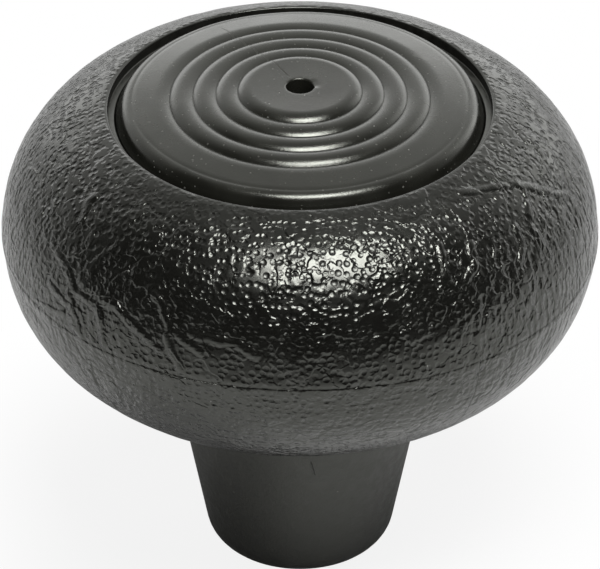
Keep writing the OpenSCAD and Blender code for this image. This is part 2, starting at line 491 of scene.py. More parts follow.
def finish_surface(tree, output, colour, roughness, normal, specular=0.5, ior=1.68, metallic=0.0):
    """The Principled surface at the end of a material."""
    inputs = {"IOR": ior, "Specular IOR Level": specular, "Metallic": metallic, "Normal": normal}
    if not metallic:
        inputs["Specular Tint"] = (0.98, 1.0, 0.91, 1.0)
    inputs["Base Color"] = colour if isinstance(colour, bpy.types.NodeSocket) else (*colour, 1.0)
    inputs["Roughness"] = roughness
    surface = put(tree, "ShaderNodeBsdfPrincipled", inputs)
    tree.links.new(surface.outputs[0], output.inputs["Surface"])


# ---------------------------------------------------------------- settings

class GripSettings(bpy.types.PropertyGroup):
    """Sizes and finish of the soft moulding."""
    colour: bpy.props.FloatVectorProperty(
        name="Colour", description="Colour of the soft moulding", subtype="COLOR",
        size=3, min=0, max=1, default=(0.0058, 0.0057, 0.0048))
    gloss_roughness: bpy.props.FloatProperty(
        name="Grip Roughness", description="Roughness on the grain's smooth tops",
        default=0.22, min=0, max=1, subtype="FACTOR")
    stem_roughness: bpy.props.FloatProperty(
        name="Stem Roughness", description="Roughness of the plain stem and well",
        default=0.46, min=0, max=1, subtype="FACTOR")
    wrinkle_depth: bpy.props.FloatProperty(
        name="Wrinkle Depth", description="Depth of the skin's swells and long creases, in mm",
        default=0.07, min=0, max=0.3)
    grain_depth: bpy.props.FloatProperty(
        name="Grain Depth", description="Depth of the fine leather grain, in mm",
        default=0.056, min=0, max=0.2)


class CapSettings(bpy.types.PropertyGroup):
    """Finish of the ringed cap."""
    colour: bpy.props.FloatVectorProperty(
        name="Colour", description="Colour of the cap", subtype="COLOR",
        size=3, min=0, max=1, default=(0.0095, 0.0095, 0.0075))
    roughness: bpy.props.FloatProperty(
        name="Roughness", description="Roughness of the cap's satin face",
        default=0.24, min=0, max=1, subtype="FACTOR")


class InsertSettings(bpy.types.PropertyGroup):
    """Finish of the brass insert."""
    colour: bpy.props.FloatVectorProperty(
        name="Colour", description="Colour of the brass", subtype="COLOR",
        size=3, min=0, max=1, default=(0.62, 0.45, 0.2))
    roughness: bpy.props.FloatProperty(
        name="Roughness", description="Roughness of the turned faces",
        default=0.3, min=0, max=1, subtype="FACTOR")


class StudioSettings(bpy.types.PropertyGroup):
    """The plain studio round the knob."""
    floor_colour: bpy.props.FloatVectorProperty(
        name="Floor Colour", description="Colour of the paper floor", subtype="COLOR",
        size=3, min=0, max=1, default=(0.86, 0.86, 0.86))
    key_power: bpy.props.FloatProperty(
        name="Key Power", description="Power of the overhead softbox",
        default=6.8, min=0, subtype="POWER")
    back_power: bpy.props.FloatProperty(
        name="Back Power", description="Power of the wide light behind the knob",
        default=5.2, min=0, subtype="POWER")
    side_power: bpy.props.FloatProperty(
        name="Side Power", description="Power of the light at the right",
        default=0.9, min=0, subtype="POWER")


# ---------------------------------------------------------------- soft moulding

def body_outline():
    """The soft moulding's outline with a finish for each point: 0 grained, 1 plain, 2 well,
    3 the ledge round the cap."""
    groove_r = SNAP_R + CAP_GAP
    half = math.degrees(math.acos((SEAT_R - SNAP_C[0]) / groove_r))
    crease_turn = math.degrees(math.asin((SEAM_DROP + 0.2) / BELLY_R))
    foot_end = FOOT_C + FOOT_ROUND * heading(-STEM_LEAN)
    neck_start = NECK_C + NECK_ROUND * heading(180 - STEM_LEAN)
    runs = [
        (1, [[0, INSERT_TOP], [INSERT_CORE_R, INSERT_TOP], [INSERT_CORE_R, 0]]),
        (1, arc(FOOT_C, FOOT_ROUND, -90, -STEM_LEAN, 0.45)),
        (1, straight(foot_end, neck_start, 1.5)),
        (1, arc(NECK_C, NECK_ROUND, 180 - STEM_LEAN, 90, 0.25)),
        (0, arc(BELLY_C, BELLY_R, -90, -crease_turn, 0.4)),
        (0, [[GRIP_R - 0.02, SEAM_Z - 0.04], [GRIP_R - 0.04, SEAM_Z + 0.03]]),
        (0, [[GRIP_R - 0.03, SEAM_Z + 0.25]]),
        (0, arc(CROWN_C, CROWN_R, 0.4, heading_of(LIP_C, CROWN_C), 0.31)),
        (0, [[WELL_R + LIP_ROUND, LIP_Z], [WELL_R + LIP_EDGE * 1.6, LIP_Z]]),
        (0, arc([WELL_R + LIP_EDGE, LIP_Z - LIP_EDGE], LIP_EDGE, 90, 180, 0.06)),
        (2, [[WELL_R, LEDGE_Z + 0.06]]),
        (3, [[WELL_R - 0.06, LEDGE_Z], [SEAT_R + 0.05, LEDGE_Z], [SEAT_R, LEDGE_Z - 0.05]]),
        (2, arc(SNAP_C, groove_r, half, -half, 0.2)),
        (2, [[SEAT_R, SEAT_Z], [HOLLOW_R, SEAT_Z]]),
        (2, arc(HOLLOW_C, HOLLOW_ROUND, -HOLLOW_DRAFT, -90, 0.8)),
        (2, [[0, HOLLOW_Z]]),
    ]
    points = [p for _, run in runs for p in run]
    finishes = [mark for mark, run in runs for _ in run]
    return points, finishes


def view_axes():
    """The view's direction and its up, as unit vectors."""
    c, s = heading(VIEW_PITCH)
    return np.array([0, c, -s]), np.array([0, s, c])


def view_place():
    """Where the view is taken from, in millimetres."""
    ahead, up = view_axes()
    return np.array([0, 0, GRIP_H]) - ahead * VIEW_BACK - up * VIEW_DROP


def skin_place(across, down):
    """The place on the grip's skin that shows at a pixel of the view. Its ray is followed to the skin."""
    ahead, up = view_axes()
    ray = (ahead * VIEW_LENS / VIEW_SENSOR * VIEW_WIDE + up * (VIEW_HIGH / 2 - down)
           + np.array([across - VIEW_WIDE / 2, 0, 0]))
    ray /= np.linalg.norm(ray)
    place = view_place()
    for _ in range(200):
        c, radius = (CROWN_C, CROWN_R) if place[2] > GRIP_H else (BELLY_C, BELLY_R)
        left = math.hypot(math.hypot(place[0], place[1]) - c[0], place[2] - c[1]) - radius
        if left < 0.005:
            break
        place = place + ray * left
    return place


def crease_gap(places):
    """How far each place lies from the nearest long crease."""
    gap = np.full(len(places), 9.0)
    for run in CREASES.values():
        dots = [np.add(a, np.subtract(b, a) * share)
                for a, b in zip(run, run[1:]) for share in CREASE_SHARES]
        spots = [skin_place(*dot) for dot in dots + [run[-1]]]
        for a, b in zip(spots, spots[1:]):
            share = np.clip((places - a) @ (b - a) / ((b - a) @ (b - a)), 0, 1)
            gap = np.minimum(gap, np.linalg.norm(places - a - share[:, None] * (b - a), axis=1))
    return gap


def crease_field(places):
    """How strongly each place lies on a long crease, from 0 to 1. The runs wind a little."""
    winding = np.array([noise.noise_vector(Vector(p) * 0.8) for p in places])
    return np.exp(-(crease_gap(places + winding * CREASE_WIND) / CREASE_HALF_W) ** 2)


def seam_rise(x):
    """How far the parting line strays above its level at a distance x to the right."""
    return SEAM_RISE - (SEAM_RISE + SEAM_FALL) * smooth(x, 0, SEAM_RUN)


def leather_shift(depth):
    """Moves the grip's skin inwards into soft swells and winding creases and lets the long creases
    stand; these fade at the lip, the seam and the neck. Along the straying seam a faint arris stays."""
    def shift(places, normals):
        r = np.hypot(places[:, 0], places[:, 1])
        z = places[:, 2]
        lip_gap = np.hypot(r - LIP_C[0], z - LIP_C[1])
        outside = (r > WELL_R + LIP_ROUND) & (z > UNDER_Z - 0.1)
        outside |= (z < GRIP_H) & (r > NECK_R + NECK_ROUND * 0.9) & (z > UNDER_Z - 0.1)
        off_seam = np.abs(z - SEAM_Z)
        amount = smooth(lip_gap, 0.4, 1.6) * smooth(r, NECK_R + 1.0, NECK_R + 2.6) * outside
        amount *= 0.35 + 0.65 * smooth(off_seam, 0.15, 1.2)
        arris = SEAM_ARRIS * smooth(off_seam, 0.1, 1.6) * smooth(off_seam, 6.0, 1.6) * outside
        moved = places - normals * arris[:, None]
        moved[:, 2] += seam_rise(places[:, 0]) * smooth(off_seam, 3.0, 0.3) * outside
        raised = crease_field(places)
        for i in np.nonzero(amount > 0.01)[0]:
            p = Vector(places[i]) + NOISE_SHIFT
            swell = noise.noise(p * 0.42) * 0.35 + noise.noise(p * 0.95) * 0.2
            strayed = p + noise.noise_vector(p * 0.35) * 1.1
            line = abs(noise.noise(strayed * 0.2) + 0.35 * noise.noise(strayed * 0.55))
            crease = max(0.0, 1 - line / 0.07)
            sink = 0.9 - swell + crease * crease * (3 - 2 * crease) * 0.4 - raised[i] * 0.8
            moved[i] -= normals[i] * (depth * amount[i] * max(0.0, sink))
        return moved
    return shift


def terrace(tree, vector, scale, level, wall, detail=2.0):
    """A noise cut into a low and a high ground at a level, with a steep wall between."""
    ground = noise_of(tree, vector, scale, detail, 0.5).outputs["Fac"]
    return between(tree, ground, level - wall, level + wall)


def flank_share(tree, x, z, radius):
    """How much a place belongs to the grip's flanks, where the grain is drawn out upright."""
    out_right = maths(tree, "DIVIDE", x, radius)
    sides = maths(tree, "ADD", between(tree, out_right, 0.4, 0.7),
                  between(tree, out_right, -0.35, -0.7, 0.0, 0.55))
    return maths(tree, "MULTIPLY", sides, between(tree, z, GRIP_H + 10.5, GRIP_H + 6.0))


def plateaus(tree, warped, moved):
    """The grain's broad and small plateaus, with the folds between them."""
    broad = terrace(tree, warped, 0.4, 0.5, 0.028)
    patch = between(tree, noise_of(tree, moved, 0.16, 1.0).outputs["Fac"], 0.44, 0.56)
    small = maths(tree, "MULTIPLY", terrace(tree, moved, 0.7, 0.46, 0.04), patch)
    ground = raised_by(tree, maths(tree, "MULTIPLY", broad, 0.9), small, 0.55)
    fold = noise_of(tree, moved, 0.2, 2.0, 0.45).outputs["Fac"]
    off_fold = maths(tree, "ABSOLUTE", maths(tree, "SUBTRACT", fold, 0.5))
    return raised_by(tree, ground, between(tree, off_fold, 0.0, 0.03, 1.0, 0.0), -0.5)


def upright_ridges(tree, moved, flank):
    """The ridges and slots that stand upright on the flanks."""
    tall = vector_maths(tree, "MULTIPLY", moved, (1.0, 1.0, 0.3))
    ridges = maths(tree, "MULTIPLY", terrace(tree, tall, 0.8, 0.5, 0.07, 1.0), flank)
    stretched = vector_maths(tree, "MULTIPLY", moved, (1.0, 1.0, 0.4))
    slot = bowl_of(tree, cells_of(tree, stretched, 1.3, "F1", 0.85).outputs["Distance"], 0.52)
    slot = maths(tree, "MULTIPLY", slot, flank)
    return raised_by(tree, maths(tree, "MULTIPLY", ridges, 0.5), slot, -1.3)


def round_pits(tree, place, centred, flank, crease):
    """The round pits, which are shallow on the flanks and keep off the long creases."""
    cells = cells_of(tree, vector_maths(tree, "ADD", place, scaled(tree, centred, 0.15)), 1.5, "F1", 0.62)
    pit = maths(tree, "MULTIPLY", bowl_of(tree, cells.outputs["Distance"], 0.5),
                between(tree, cells.outputs["Color"], 0.12, 0.2))
    pit = maths(tree, "MULTIPLY", pit, maths(tree, "MULTIPLY_ADD", flank, -0.75, 1.0))
    return maths(tree, "MULTIPLY", pit, between(tree, crease, 0.1, 0.5, 1.0, 0.0))


def under_runs(tree, strayed, x, y, z, radius):
    """Flowing ridges round the underside, which fade towards the back."""
    turn = maths(tree, "ARCTAN2", x, maths(tree, "MULTIPLY", y, -1.0))
    round_way = maths(tree, "MULTIPLY_ADD", turn, 10.0, maths(tree, "MULTIPLY", z, 0.5))
    round_knob = put(tree, "ShaderNodeCombineXYZ", {"X": round_way, "Y": radius, "Z": z}).outputs[0]
    runs = terrace(tree, vector_maths(tree, "ADD", round_knob, strayed), 1.25, 0.5, 0.1, 1.0)
    return maths(tree, "MULTIPLY", runs, between(tree, y, 2.0, 14.0, 1.0, 0.0))


def above_seam(tree, place, x, z):
    """How far a place lies above the straying parting line."""
    level = between(tree, x, 0.0, SEAM_RUN, SEAM_Z + SEAM_RISE, SEAM_Z - SEAM_FALL)
    drift = maths(tree, "MULTIPLY_ADD", noise_of(tree, place, 0.5).outputs["Fac"], 0.12, -0.06)
    return maths(tree, "ADD", maths(tree, "SUBTRACT", z, level), drift)


def seam_step(tree, place, above):
    """The parting line's small step, more open in some places than in others."""
    open_seam = between(tree, noise_of(tree, place, 0.9).outputs["Fac"], 0.4, 0.6, 0.45, 1.0)
    step = maths(tree, "MULTIPLY", between(tree, above, -0.07, 0.1),
                 between(tree, above, 0.05, 0.5, 1.0, 0.0))
    return maths(tree, "MULTIPLY", step, open_seam)


def mould_line(tree, place, x, y, low_side):
    """The fine upright line that the mould left below the parting line."""
    along, across = turned(tree, x, y, MOULD_LINE_TURN)
    off_line = off_swaying(tree, place, across, 0.35, 0.25)
    here = maths(tree, "MULTIPLY", low_side, maths(tree, "GREATER_THAN", along, 0.0))
    return maths(tree, "MULTIPLY", between(tree, off_line, 0.02, 0.14, 1.0, 0.0), here)


def grain_share(tree, y, radius, flank, low_side):
    """How strongly the grain shows: weaker at the lip, the neck and the back, stronger on the flanks."""
    by_lip = maths(tree, "MULTIPLY", between(tree, radius, WELL_R + 0.15, WELL_R + 0.5),
                   between(tree, radius, WELL_R + 0.8, WELL_R + 4.0, 0.65, 1.0))
    by_neck = between(tree, radius, 21.0, 25.5, 0.5, 1.0)
    shown = maths(tree, "ADD", maths(tree, "MULTIPLY", low_side, by_neck),
                  maths(tree, "MULTIPLY", maths(tree, "SUBTRACT", 1.0, low_side), by_lip))
    relief = maths(tree, "MULTIPLY", between(tree, y, -15.0, -1.0, 1.0, 2.0),
                   between(tree, y, 6.0, 20.0, 1.0, 0.6))
    return maths(tree, "MULTIPLY", shown, raised_by(tree, relief, flank, 0.45))


def grained_finish(settings):
    """Glossy black leather grain: jagged plateaus with steep walls, round pits and a fine tooth."""
    material, tree, output = new_material("grained_moulding")
    place = mm_place(tree)
    x, y, z = axes_of(tree, place)
    radius = length_of(tree, x, y)
    wander = noise_of(tree, place, 1.3).outputs["Color"]
    centred = vector_maths(tree, "SUBTRACT", wander, (0.5, 0.5, 0.5))
    strayed = scaled(tree, centred, 0.45)
    warped = vector_maths(tree, "ADD", place, strayed)
    moved = vector_maths(tree, "ADD", warped, (31.0, 17.0, 5.0))
    flank = flank_share(tree, x, z, radius)
    crease = put(tree, "ShaderNodeAttribute", attribute_name="crease").outputs["Fac"]
    trough = maths(tree, "MULTIPLY", between(tree, crease, 0.0, 0.15),
                   between(tree, crease, 0.2, 0.7, 1.0, 0.0))
    pit = round_pits(tree, place, centred, flank, crease)
    tooth = noise_of(tree, place, 3.0, 2.0, 0.6).outputs["Fac"]
    above = above_seam(tree, place, x, z)
    low_side = maths(tree, "LESS_THAN", above, 0.0)
    runs = under_runs(tree, strayed, x, y, z, radius)
    under = raised_by(tree, maths(tree, "MULTIPLY", tooth, 0.35), runs, 0.4)
    height = plateaus(tree, warped, moved)
    height = raised_by(tree, height, pit, -1.2)
    height = maths(tree, "ADD", height, upright_ridges(tree, moved, flank))
    height = raised_by(tree, height, crease, 1.1)
    height = raised_by(tree, height, trough, -0.5)
    height = raised_by(tree, height, tooth, 0.09)
    height = maths(tree, "MULTIPLY_ADD", low_side, under, height)
    height = maths(tree, "MULTIPLY", height, grain_share(tree, y, radius, flank, low_side))
    height = raised_by(tree, height, mould_line(tree, place, x, y, low_side), -1.7)
    height = raised_by(tree, height, seam_step(tree, place, above), -0.48)
    normal = bump_of(tree, height, settings.grain_depth)
    sheen_patch = noise_of(tree, place, 0.22).outputs["Fac"]
    sheen = between(tree, sheen_patch, 0.3, 0.7,
                    settings.gloss_roughness - 0.02, settings.gloss_roughness + 0.04)
    rough = raised_by(tree, sheen, pit, 0.05)
    # Painted shade: the pits' colour is darkened to 0.6 of the moulding's colour.
    colour = mixed(tree, pit, tuple(settings.colour), [c * 0.6 for c in settings.colour])
    colour = speckled(tree, place, colour, 0.42, 0.026, (0.5, 0.5, 0.47))
    finish_surface(tree, output, colour, rough, normal)
    return material


def nick_cut(tree, place):
    """The small nick on the stem's front."""
    (x0, z0), (x1, z1) = NICK
    x, y, z = axes_of(tree, place)
    slope = (x1 - x0) / (z1 - z0)
    half = abs(z1 - z0) / 2
    from_foot = maths(tree, "SUBTRACT", x, x0 - slope * z0)
    off_nick = maths(tree, "ABSOLUTE", maths(tree, "MULTIPLY_ADD", z, -slope, from_foot))
    along = maths(tree, "ABSOLUTE", maths(tree, "SUBTRACT", z, (z0 + z1) / 2))
    cut = maths(tree, "MULTIPLY", between(tree, off_nick, 0.02, 0.12, 1.0, 0.0),
                between(tree, along, half * 0.6, half * 1.2, 1.0, 0.0))
    return maths(tree, "MULTIPLY", cut, maths(tree, "LESS_THAN", y, 0.0))


def plain_finish(settings, name, roughness, tooth_depth, specular=0.5, nicked=False):
    """The moulding's ungrained skin, with a fine tooth and faint mottling."""
    material, tree, output = new_material(name)
    place = mm_place(tree)
    mottle = noise_of(tree, place, 1.1, 4.0, 0.6).outputs["Fac"]
    height = noise_of(tree, place, 1.9, 4.0, 0.65).outputs["Fac"]
    if nicked:
        height = raised_by(tree, height, nick_cut(tree, place), -2.5)
    normal = bump_of(tree, height, tooth_depth)
    rough = between(tree, mottle, 0.3, 0.7, roughness - 0.08, roughness + 0.08)
    base = tuple(settings.colour)
    colour = mixed(tree, between(tree, mottle, 0.35, 0.65), base, [c * 2.0 for c in base])
    colour = speckled(tree, place, colour, 0.5, 0.03, (0.3, 0.3, 0.28))
    finish_surface(tree, output, colour, rough, normal, specular)
    return material


class SHIFTKNOB_OT_body(bpy.types.Operator):
    """Build the soft moulding: grained grip, plain stem and the well for the cap"""
    bl_idname = "shift_knob.body"
    bl_label = "Soft Moulding"

    def execute(self, context):
        noise.seed_set(NOISE_SEED)
        settings = context.scene.knob_grip
        points, finishes = body_outline()
        shift = leather_shift(settings.wrinkle_depth)
        mesh = spun_mesh("soft_moulding", points, BODY_TURN, finishes, shift)
        places = np.empty(len(mesh.vertices) * 3)
        mesh.vertices.foreach_get("co", places)
        places = places.reshape(-1, 3) / MM
        creases = mesh.attributes.new("crease", "FLOAT", "POINT")
        creases.data.foreach_set("value", crease_field(places))
        materials = [
            grained_finish(settings),
            plain_finish(settings, "plain_moulding", settings.stem_roughness, 0.05, nicked=True),
            plain_finish(settings, "well_moulding", 0.55, 0.012, 0.15),
            plain_finish(settings, "ledge_moulding", 0.4, 0.02, 0.85),
        ]
        add_piece("soft_moulding", mesh, "knob_body", materials)
        return {"FINISHED"}


# ---------------------------------------------------------------- ringed cap

def cap_outline():
    """The ringed cap's outline."""
    land = RING_COUNT + 1
    under_r = DOME_R - CAP_WALL
    bead_half = math.degrees(math.acos((SKIRT_R - SNAP_C[0]) / SNAP_R))
    points = arc(EDGE_C, EDGE_ROUND, SIDE_LEAN, heading_of(EDGE_C, DOME_C), 0.06)
    outer = under_dome(LINE_AT + LINE_W / 2, 0)
    points += arc(DOME_C, DOME_R, heading_of(EDGE_C, DOME_C), heading_of(outer, DOME_C), 0.1)
    points += [under_dome(LINE_AT + LINE_W * 0.2, LINE_DEPTH * 0.75), under_dome(LINE_AT, LINE_DEPTH),
               under_dome(LINE_AT - LINE_W * 0.2, LINE_DEPTH * 0.75)]
    inner = under_dome(LINE_AT - LINE_W / 2, 0)
    points += arc(DOME_C, DOME_R, heading_of(inner, DOME_C), heading_of(slope_c(land), DOME_C), 0.3)
    points += arc(slope_c(land), SLOPE_R,
                  heading_of(slope_c(land), DOME_C), heading_of(groove(land - 1), slope_c(land)), 0.12)
    for i in range(RING_COUNT, 0, -1):
        points += arc(shoulder_c(i), SHOULDER_R, heading_of(groove(i), shoulder_c(i)), 90, 0.1)
        points += arc(slope_c(i), SLOPE_R, 90, heading_of(groove(i - 1), slope_c(i)), 0.12)
    points += arc(shoulder_c(0), SHOULDER_R, heading_of(groove(0), shoulder_c(0)), 90, 0.1)
    points += arc(DISC_C, SLOPE_R, 90, 90 + DISH_TURN, 0.1)
    points += arc(DISH_C, DISH_R, -90 + DISH_TURN, heading_of(EYE_C, DISH_C), 0.3)
    points += arc(EYE_C, EYE_ROUND, heading_of(DISH_C, EYE_C), 180, 0.06)
    points += arc(DOME_C, under_r, dome_heading(EYE_R, under_r), heading_of(INNER_C, DOME_C), 2)
    points += arc(INNER_C, SKIRT_ROUND, heading_of(INNER_C, DOME_C), 0, 0.3)
    points += [[SKIRT_IN_R, SEAT_Z], [SKIRT_R, SEAT_Z]]
    points += arc(SNAP_C, SNAP_R, -bead_half, bead_half, 0.2)
    points += [SIDE_FOOT]
    return points


def cap_shift(places, normals):
    """Moves the cap's face by the slight sinks of the moulding and by the chip at the eye."""
    r = np.hypot(places[:, 0], places[:, 1])
    turn = np.degrees(np.arctan2(places[:, 1], places[:, 0]))
    top = places[:, 2] > LEDGE_Z + 0.05
    moved = places.copy()
    for i in np.nonzero(top)[0]:
        p = Vector(places[i]) + NOISE_SHIFT
        moved[i] += normals[i] * (noise.noise(p * 0.16) * 0.02 + noise.noise(p * 0.7) * 0.0035 - 0.014)
    chip = smooth(np.abs(turn - CHIP_TURN), 36, 12) * smooth(r, 1.8, 1.45) * (r > EYE_R - 0.01) * top
    chip *= places[:, 2] > EYE_C[1] - 0.05
    moved[:, 2] -= chip * 0.09
    return moved


def knit_line(tree, place, x, y):
    """The faint line across the cap's face where the plastic met in the mould."""
    along, across = turned(tree, x, y, KNIT_LINE_TURN)
    off_line = off_swaying(tree, place, across, 0.5, 0.15)
    shown = maths(tree, "MULTIPLY", between(tree, along, 1.6, 2.4), between(tree, along, 3.6, 5.2, 1.0, 0.35))
    shown = maths(tree, "MULTIPLY", shown, between(tree, along, 13.8, 15.0, 1.0, 0.0))
    return maths(tree, "MULTIPLY", between(tree, off_line, 0.05, 0.15, 1.0, 0.0), shown)


def bloom_patch(tree, place, x, y):
    """The pale, ragged patch of bloom near the cap's edge."""
    long_way, wide_way = turned(tree, maths(tree, "SUBTRACT", x, BLOOM_AT[0]),
                                maths(tree, "SUBTRACT", y, BLOOM_AT[1]), BLOOM_TURN)
    reach = length_of(tree, maths(tree, "MULTIPLY", long_way, 1 / BLOOM_LONG),
                      maths(tree, "MULTIPLY", wide_way, 1 / BLOOM_WIDE))
    ragged = raised_by(tree, reach, noise_of(tree, place, 0.9, 3.0).outputs["Fac"], 1.1)
    return between(tree, ragged, 0.7, 1.5, 0.9, 0.0)


def fine_motes(tree, place, x, y):
    """Fine dust of many sizes, thicker on the cap's side."""
    motes = cells_of(tree, place, 1.7, "F1")
    size = maths(tree, "MULTIPLY", motes.outputs["Color"], 0.2)
    side = between(tree, length_of(tree, x, y), 15.9, 16.3, 0.17, 0.34)
    return maths(tree, "MULTIPLY", maths(tree, "LESS_THAN", motes.outputs["Distance"], size), side)


def cap_finish(settings):
    """Satin black plastic with a fine tooth, faint knit line, bloom and dust specks."""
    material, tree, output = new_material("cap_plastic")
    place = mm_place(tree)
    x, y, _ = axes_of(tree, place)
    cloud = noise_of(tree, place, 0.28, 3.0).outputs["Fac"]
    tooth = noise_of(tree, place, 5.5, 3.0, 0.7).outputs["Fac"]
    line = knit_line(tree, place, x, y)
    bloom = bloom_patch(tree, place, x, y)
    normal = bump_of(tree, raised_by(tree, maths(tree, "MULTIPLY", tooth, 0.7), line, -0.3), 0.018)
    base = tuple(settings.colour)
    colour = mixed(tree, between(tree, cloud, 0.35, 0.65), base, [c * 1.35 for c in base])
    colour = mixed(tree, maths(tree, "MULTIPLY", bloom, 0.25), colour, (0.2, 0.2, 0.19))
    colour = speckled(tree, place, colour, 0.62, 0.045, (0.3, 0.3, 0.28), 0.5)
    colour = mixed(tree, fine_motes(tree, place, x, y), colour, (0.3, 0.3, 0.27))
    satin = between(tree, cloud, 0.3, 0.7, settings.roughness - 0.03, settings.roughness + 0.04)
    rough = raised_by(tree, satin, raised_by(tree, bloom, line, 3.0), 0.15)
    finish_surface(tree, output, colour, rough, normal, ior=1.7)
    return material


class SHIFTKNOB_OT_cap(bpy.types.Operator):
    """Build the ringed cap with its eye, edge line, skirt and snap bead"""
    bl_idname = "shift_knob.cap"
    bl_label = "Ringed Cap"

    def execute(self, context):
        points = cap_outline()
        mesh = spun_mesh("ringed_cap", points, CAP_TURN, [0] * len(points), cap_shift)
        add_piece("ringed_cap", mesh, "cap", [cap_finish(context.scene.knob_cap)])
        return {"FINISHED"}


# ---------------------------------------------------------------- brass insert

def insert_outline():
    """The insert's outline, with the thread's rings between its mouth and its drilled end."""
    tip = THREAD_BORE_R / math.tan(math.radians(DRILL_TIP / 2))
    top = INSERT_TOP - BLIND_END
    low_band = INSERT_SET + INSERT_LEN / 2 - KNURL_GAP / 2 - KNURL_H
    bands = []
    for start in (low_band, low_band + KNURL_H + KNURL_GAP):
        rim = INSERT_R - 0.01
        end = start + KNURL_H
        bands += [[INSERT_CORE_R, start], [rim, start], [rim, end], [INSERT_CORE_R, end]]
    thread = straight([THREAD_BORE_R, top], [THREAD_BORE_R, INSERT_SET + MOUTH_CHAMFER], THREAD_PITCH / 9)
    return ([[0, top + tip]] + thread
            + [[THREAD_BORE_R + MOUTH_CHAMFER, INSERT_SET], [INSERT_CORE_R, INSERT_SET]]
            + bands + [[INSERT_CORE_R, INSERT_TOP], [0, INSERT_TOP]])


def insert_shift(places, normals):
    """Cuts the helical thread and the knurl's teeth."""
    moved = places.copy()
    r = np.hypot(places[:, 0], places[:, 1])
    turn = np.arctan2(places[:, 1], places[:, 0])
    out = np.stack([np.cos(turn), np.sin(turn)], axis=1)
    low, high = INSERT_SET + MOUTH_CHAMFER * 0.5, INSERT_TOP - BLIND_END - 0.2
    in_bore = (np.abs(r - THREAD_BORE_R) < 0.01) & (places[:, 2] < high)
    phase = (places[:, 2] / THREAD_PITCH - turn / (2 * math.pi)) % 1.0
    cut = smooth(np.abs(phase - 0.5), 0.42, 0.08) * (THREAD_R - THREAD_BORE_R)
    cut *= smooth(places[:, 2], low, low + 0.5) * smooth(places[:, 2], high, high - 1.0)
    moved[in_bore, :2] += out[in_bore] * cut[in_bore, None]
    band = r > INSERT_R - 0.05
    teeth = np.abs((turn / (2 * math.pi) * KNURL_COUNT) % 1.0 - 0.5) * 2
    moved[band, :2] -= out[band] * (KNURL_DEPTH * (1 - teeth))[band, None]
    return moved


def brass_finish(settings):
    """Turned brass with fine tool rings and slight tarnish."""
    material, tree, output = new_material("insert_brass")
    place = mm_place(tree)
    stain = noise_of(tree, place, 0.6, 3.0).outputs["Fac"]
    x, y, _ = axes_of(tree, place)
    rings = maths(tree, "SINE", maths(tree, "MULTIPLY", length_of(tree, x, y), 42.0))
    scuff = noise_of(tree, place, 5.0, 3.0).outputs["Fac"]
    normal = bump_of(tree, maths(tree, "MULTIPLY_ADD", rings, 0.4, scuff), 0.008)
    rough = between(tree, stain, 0.3, 0.7, settings.roughness - 0.08, settings.roughness + 0.12)
    base = tuple(settings.colour)
    colour = mixed(tree, between(tree, stain, 0.4, 0.7), base, [c * 0.55 for c in base])
    finish_surface(tree, output, colour, rough, normal, metallic=1.0)
    return material


class SHIFTKNOB_OT_insert(bpy.types.Operator):
    """Build the brass insert with its lever thread and knurled bands"""
    bl_idname = "shift_knob.insert"
    bl_label = "Brass Insert"

    def execute(self, context):
        points = insert_outline()
        mesh = spun_mesh("brass_insert", points, THREAD_TURN, [0] * len(points), insert_shift)
        add_piece("brass_insert", mesh, "threaded_insert",
                  [brass_finish(context.scene.knob_insert)])
        return {"FINISHED"}


# ---------------------------------------------------------------- studio

def paper_floor(settings):
    """A pale paper floor that fades into the white surroundings and keeps the knob's shadow. Its colour
    carries painted shade that darkens towards the front, and a painted shadow in a patch in front of and left
    of the stem's foot.
    """
    material, tree, output = new_material("paper_floor")
    place = mm_place(tree)
    _, y, _ = axes_of(tree, place)
    # Painted shadow and shade: the paper's colour darkens in a patch in front of and left of the stem's foot,
    # and towards the front down to 0.08 of the pale colour.
    from_painted_shadow = vector_maths(tree, "DISTANCE", place, (-20.0, -18.0, 0.0), result=1)
    clear_of_painted_shade = maths(tree, "MULTIPLY", between(tree, y, -200.0, -40.0),
                         between(tree, from_painted_shadow, 6.0, 24.0, 0.45, 1.0))
    pale = tuple(settings.floor_colour)
    seen = mixed(tree, clear_of_painted_shade, [c * 0.08 for c in pale], pale)
    fibre = noise_of(tree, place, 0.8, 3.0).outputs["Fac"]
    normal = bump_of(tree, fibre, 0.02)
    paper = put(tree, "ShaderNodeBsdfDiffuse", {"Color": seen, "Normal": normal}).outputs[0]
    white = put(tree, "ShaderNodeEmission", {"Color": (1, 1, 1, 1), "Strength": 1.0}).outputs[0]
    far = between(tree, vector_maths(tree, "LENGTH", place, result=1), 20.0, 45.0, 0.87, 1.0)
    camera = put(tree, "ShaderNodeLightPath").outputs["Is Camera Ray"]
    blend = put(tree, "ShaderNodeMixShader", {0: maths(tree, "MULTIPLY", camera, far), 1: paper, 2: white})
    tree.links.new(blend.outputs[0], output.inputs["Surface"])
    half = 3.0
    mesh = bpy.data.meshes.new("paper_floor")
    corners = [(-half, -half, 0), (half, -half, 0), (half, half, 0), (-half, half, 0)]
    mesh.from_pydata(corners, [], [(0, 1, 2, 3)])
    mesh.materials.append(material)
    floor = bpy.data.objects.new("paper_floor", mesh)
    floor.location.z = -0.00002
    bpy.context.scene.collection.objects.link(floor)


def plain_room(tree, colour, strength=1.0):
    """A background of one colour and strength."""
    return put(tree, "ShaderNodeBackground", {"Color": colour, "Strength": strength}).outputs[0]


